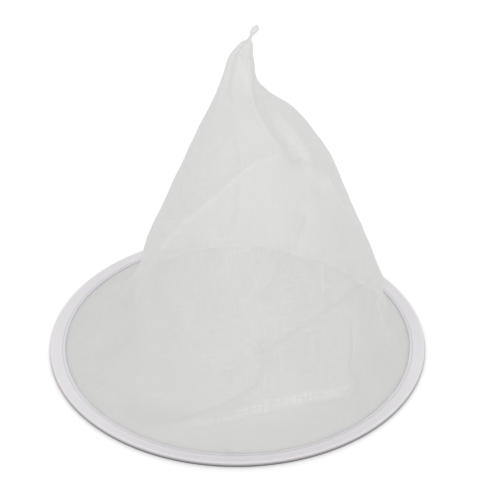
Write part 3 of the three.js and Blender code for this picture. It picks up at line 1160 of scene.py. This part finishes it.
@dataclass
class MeshBag:
    """The bag's one cloth: its hem between the tape's legs, the cone, the pinched neck and the tail."""

    shape: ConeShape
    finish: MeshClothFinish = MeshClothFinish()
    rows: int = 262
    columns: int = 368
    hem_rows: int = 4
    front_crowding: float = 0.4
    cone_gather: float = 0.12
    neck_gather: float = 0.22

    def bearings(self, slant: np.ndarray) -> tuple[np.ndarray, np.ndarray]:
        """The columns' bearings at each slant, from the seam round to it again, closer together at the front.

        Args:
            slant: the rows' slants.

        Returns:
            Shares of the way round, and bearings, rows by columns + 1.
        """
        share = np.linspace(0, 1, self.columns + 1)[None, :]
        seam = self.shape.loft(slant)[:, -1:]
        turn = TURN * share + self.front_crowding * np.sin(TURN * share)
        return turn / TURN + 0 * seam, seam + turn

    def build(self) -> bpy.types.Object:
        """Makes the cloth as one grid from the hem to the tip.

        The hem is a flat ring and the rest is the surface. The UV map is the flat half disc that the cloth is
        cut from: the way from its middle shrinks with the slant, and the angle is half the turn round the bag.

        Returns:
            The cloth.
        """
        shape, rim, bag = self.shape, self.shape.rim, self.shape.bag
        slant = np.linspace(0, shape.tip_slant, self.rows, endpoint=False)
        share, bearing = self.bearings(slant)
        points, mark = shape.surface(np.broadcast_to(slant[:, None], bearing.shape), bearing)
        hem_reach = rim.hem_radius - rim.mouth_radius
        hem_slant = np.linspace(-hem_reach, 0, self.hem_rows, endpoint=False)
        hem_radius = (rim.mouth_radius - hem_slant)[:, None]
        hem_level = rim.hem_level - rim.cloth_thickness / 2
        flat_hem = np.full((self.hem_rows, self.columns + 1), hem_level)
        hem = np.stack([hem_radius * np.cos(bearing[:1]), hem_radius * np.sin(bearing[:1]), flat_hem], -1)
        points = np.concatenate([hem, points])
        mark = np.concatenate([np.zeros(hem.shape[:2]), mark])
        reach = bag.cut_radius - hem_reach - np.concatenate([hem_slant, slant])[:, None]
        angle = math.pi * np.concatenate([np.repeat(share[:1], self.hem_rows, axis=0), share])
        uv = np.stack([bag.cut_radius + reach * np.cos(angle), reach * np.sin(angle)], -1)
        tip = shape.cone_point(np.array(shape.tip_slant), np.array(0.0))
        numbers = {FOLD_MARK: mark[:, :-1], LAYERS: self.layers(slant)}
        material = self.finish.material()
        cloth = grid_object(
            "mesh_cloth", points[:, :-1], uv, material, columns_close=True, tip=tip, numbers=numbers
        )
        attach(cloth, BODY)
        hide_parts("mesh_bag")
        return cloth

    def layers(self, slant: np.ndarray) -> np.ndarray:
        """How much denser the gathered cloth is towards the neck: a smooth step on the cone and one at the neck.

        Args:
            slant: the rows' slants.

        Returns:
            The layers, rows by columns, with none on the hem.
        """
        share = slant / self.shape.tip_slant
        gathered = self.cone_gather * smooth_step(share, 0.3, 0.8)
        gathered = gathered + self.neck_gather * smooth_step(share, 0.82, 0.97)
        column = np.concatenate([np.zeros(self.hem_rows), gathered])[:, None]
        return np.broadcast_to(column, (len(column), self.columns))


@dataclass
class SeamAllowance:
    """The two edges of the cut that the seam holds: a narrow double strip inside, folded to one side."""

    shape: ConeShape
    finish: MeshClothFinish = MeshClothFinish()
    rows: int = 260
    columns: int = 5
    inset: float = 0.35 * MM

    def build(self) -> bpy.types.Object:
        """Makes a strip that starts on the seam and lies against the inside of the cloth.

        Its points are the cloth's own, up to a seam's width from the seam, moved towards the bag's middle.

        Returns:
            The strip.
        """
        shape = self.shape
        slant = np.linspace(2 * MM, SEAM_END * shape.tip_slant, self.rows)
        section = shape.loft(slant)
        radius = (section[:, 1] + section[:, 2])[:, None] / 2
        gather = 1 - 0.8 * smooth_step(slant / shape.tip_slant, 0.58, 0.74)
        across = np.linspace(0, shape.bag.seam_width, self.columns)[None, :] * gather[:, None]
        bearing = section[:, -1:] - np.minimum(across / radius, 0.6)
        points, _ = shape.surface(np.broadcast_to(slant[:, None], bearing.shape), bearing)
        middle = np.stack([section[:, 0], 0 * slant, section[:, 3]], -1)[:, None]
        inwards = middle - points
        inwards /= np.linalg.norm(inwards, axis=-1, keepdims=True)
        points = points + inwards * self.inset
        uv = np.stack(np.broadcast_arrays(across, slant[:, None]), -1)
        dense = np.broadcast_to(0.55 * gather[:, None] - 0.11, bearing.shape)
        numbers = {FOLD_MARK: 0 * dense, LAYERS: dense}
        strip = grid_object("seam_allowance", points, uv, self.finish.material(), numbers=numbers)
        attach(strip, BODY)
        return strip


@dataclass
class SeamStitches:
    """The row of stitches that joins the two edges of the cut, on the outside of the bag."""

    shape: ConeShape
    finish: ThreadFinish
    pitch: float = 3 * MM
    thread_radius: float = 0.08 * MM
    steps_a_stitch: int = 8
    thread_sides: int = 6
    steepness: float = 3
    rise: float = 0.35
    sunk: float = 0.2

    def build(self) -> bpy.types.Object:
        """Carries the thread up the seam, diving in at each end of a stitch.

        The rise of a stitch and how deep its ends are sunk are in millimetres.

        Returns:
            The row of stitches.
        """
        shape = self.shape
        start, end = 1.5 * MM, SEAM_END * shape.tip_slant
        stitches = round((end - start) / self.pitch)
        slant = np.linspace(start, end, stitches * self.steps_a_stitch + 1)
        seam = shape.loft(slant)[:, -1]
        path, _ = shape.surface(slant, seam)
        out = np.stack([np.cos(seam), np.sin(seam), 0.3 + 0 * seam], -1)
        out /= np.linalg.norm(out, axis=1, keepdims=True)
        crown = stitch_crown(np.linspace(0, stitches * math.pi, len(slant)), self.steepness)
        path = path + out * ((crown * self.rise - self.sunk) * MM)[:, None]
        size = (self.thread_radius, self.thread_sides)
        row = thread_object("seam_stitches", path, out, *size, slant, self.finish.material())
        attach(row, BODY)
        return row


@dataclass
class LooseThread:
    """The loose end of the binding's thread, which curls up from the stitches at the front."""

    sizes: RimSizes
    finish: ThreadFinish
    bearing: float = math.radians(267.6)
    thread_radius: float = 0.19 * MM
    steps: int = 40
    thread_sides: int = 8
    length: float = 6 * MM
    reach: float = 5.2 * MM
    drift: float = 3.4 * MM
    curl: float = 0.7 * MM
    lift: float = 2.1 * MM

    def build(self) -> bpy.types.Object:
        """Carries the thread's section along a short smooth curl.

        The curl runs from the stitches in over the cloth, with its height a half wave of its length.

        Returns:
            The loose end.
        """
        s = self.sizes
        share = np.linspace(0, 1, self.steps)
        ring = s.stitch_ring - self.reach * share
        sideways = -self.drift * share**1.6 + self.curl * np.sin(share * TURN)
        bearing = self.bearing + sideways / ring
        level = s.leg_top - 0.1 * MM + self.lift * np.sin(share * math.pi * 0.8)
        path = np.stack([ring * np.cos(bearing), ring * np.sin(bearing), level], -1)
        side = np.tile([0.0, 0.0, 1.0], (self.steps, 1))
        taper = self.thread_radius * np.clip(np.sin(share * math.pi) * 6, 0.05, 1)
        along, material = share * self.length, self.finish.material()
        loose = thread_object("loose_thread_end", path, side, taper, self.thread_sides, along, material)
        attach(loose, BODY)
        return loose


@dataclass
class RimHoop:
    """The steel wire hoop, which the frame holds and which only gets its finish here."""

    finish: DrawnWireFinish = DrawnWireFinish()

    def dress(self) -> bpy.types.Object:
        """Gives the frame's own hoop its material.

        Returns:
            The hoop.
        """
        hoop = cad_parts["rim_hoop"]
        hoop.data.materials.clear()
        hoop.data.materials.append(self.finish.material())
        return hoop


# The studio

@dataclass(frozen=True)
class Lamp:
    """A soft square lamp that faces the bag, with its side and how bright its face is, where 1 is white."""

    name: str
    place: tuple[float, float, float]
    size: float
    radiance: float


@dataclass
class Studio:
    """The floor, the light and the camera at the photograph's place."""

    floor_half: float = 6.0
    camera_distance: float = 0.7
    camera_height_angle: float = math.radians(37.22)
    camera_pitch: float = math.radians(31.78)
    camera_yaw: float = math.radians(-0.97)
    camera_roll: float = math.radians(0.30)
    camera_lens: float = 61.44
    sensor: float = 36.0
    sky_strength: float = 0.70
    lamps: tuple[Lamp, ...] = (
        Lamp("front_left_lamp", (-1.2, -1.6, 0.75), 1.3, 1.2),
        Lamp("front_right_lamp", (1.3, -1.4, 0.75), 1.3, 0.9),
        Lamp("back_lamp", (0.1, 1.3, 1.2), 1.2, 0.8),
    )

    def camera(self) -> bpy.types.Object:
        """Makes the camera, which looks from the front and above.

        Returns:
            The camera.
        """
        data = bpy.data.cameras.new("camera")
        data.lens = self.camera_lens
        data.sensor_width = self.sensor
        data.sensor_fit = "HORIZONTAL"
        camera = bpy.data.objects.new("camera", data)
        yaw, pitch, roll = self.camera_yaw, self.camera_pitch, self.camera_roll
        back = Vector((math.sin(yaw) * math.cos(pitch), -math.cos(yaw) * math.cos(pitch), math.sin(pitch)))
        level = Vector((math.cos(yaw), math.sin(yaw), 0))
        raised = back.cross(level)
        right = math.cos(roll) * level + math.sin(roll) * raised
        up = math.cos(roll) * raised - math.sin(roll) * level
        angle = self.camera_height_angle
        place = self.camera_distance * Vector((0, -math.cos(angle), math.sin(angle)))
        camera.matrix_world = Matrix.Translation(place) @ Matrix((right, up, back)).transposed().to_4x4()
        bpy.context.scene.collection.objects.link(camera)
        bpy.context.scene.camera = camera
        return camera

    def floor(self) -> bpy.types.Object:
        """Makes the plain floor, a flat square.

        Returns:
            The floor.
        """
        side = np.linspace(-self.floor_half, self.floor_half, 3)
        x, y = np.meshgrid(side, side)
        points = np.stack([x, y, 0 * x], -1)
        floor = grid_object("floor", points, points[..., :2], FloorFinish().material())
        return floor

    def hang(self, lamp: Lamp) -> None:
        """Makes a lamp. The power that gives a square face a radiance is 4 times it, times the face's area.

        Args:
            lamp: the lamp.
        """
        data = bpy.data.lights.new(lamp.name, "AREA")
        data.shape = "SQUARE"
        data.size = lamp.size
        data.energy = 4 * lamp.radiance * lamp.size**2
        made = bpy.data.objects.new(lamp.name, data)
        made.location = lamp.place
        made.rotation_euler = (-Vector(lamp.place)).to_track_quat("-Z", "Y").to_euler()
        bpy.context.scene.collection.objects.link(made)

    def world(self) -> None:
        """Makes an even sky, which is white where it is seen and a little dimmer where it lights."""
        graph = FinishGraph(bpy.data.worlds.new("white_studio"))
        camera, glossy = graph.light_path("Is Camera Ray", "Is Glossy Ray")
        seen = (camera + glossy).clamped(0.0, 1.0)
        sockets = {"Color": opaque(1.0, 1.0, 1.0), "Strength": seen + (1 - seen) * self.sky_strength}
        white = graph.node("ShaderNodeBackground", sockets=sockets)
        graph.node("ShaderNodeOutputWorld", sockets={"Surface": white})
        bpy.context.scene.world = graph.owner

    def light(self) -> None:
        """Makes the lamps and sets the plain view."""
        for lamp in self.lamps:
            self.hang(lamp)
        bpy.context.scene.view_settings.view_transform = "Standard"


def main() -> None:
    """Builds the pieces in order and reports each."""
    logging.basicConfig(level=logging.INFO, format="%(message)s")
    studio = Studio()
    studio.camera()
    studio.floor()
    studio.world()
    studio.light()
    rim = RimSizes()
    shape = ConeShape(rim, BagSizes())
    # Each thread's second colour is painted shade in the grooves of its twist
    binding_thread = ThreadFinish("binding_thread", opaque(0.74, 0.72, 0.76), opaque(0.55, 0.53, 0.57))
    seam_thread = ThreadFinish("seam_thread", opaque(0.88, 0.88, 0.87), opaque(0.74, 0.74, 0.73))
    tape = RimBinding(rim).build()
    top_row = BindingStitches(rim, StitchSide.TOP, binding_thread).build()
    under_row = BindingStitches(rim, StitchSide.UNDER, binding_thread).build()
    loose = LooseThread(rim, binding_thread).build()
    cloth = MeshBag(shape).build()
    allowance = SeamAllowance(shape).build()
    seam_row = SeamStitches(shape, seam_thread).build()
    hoop = RimHoop().dress()
    for made in (tape, top_row, under_row, loose, cloth, allowance, seam_row, hoop):
        log.info("%s: %d faces", made.name, len(made.data.polygons))


if __name__ == "__main__":
    main()
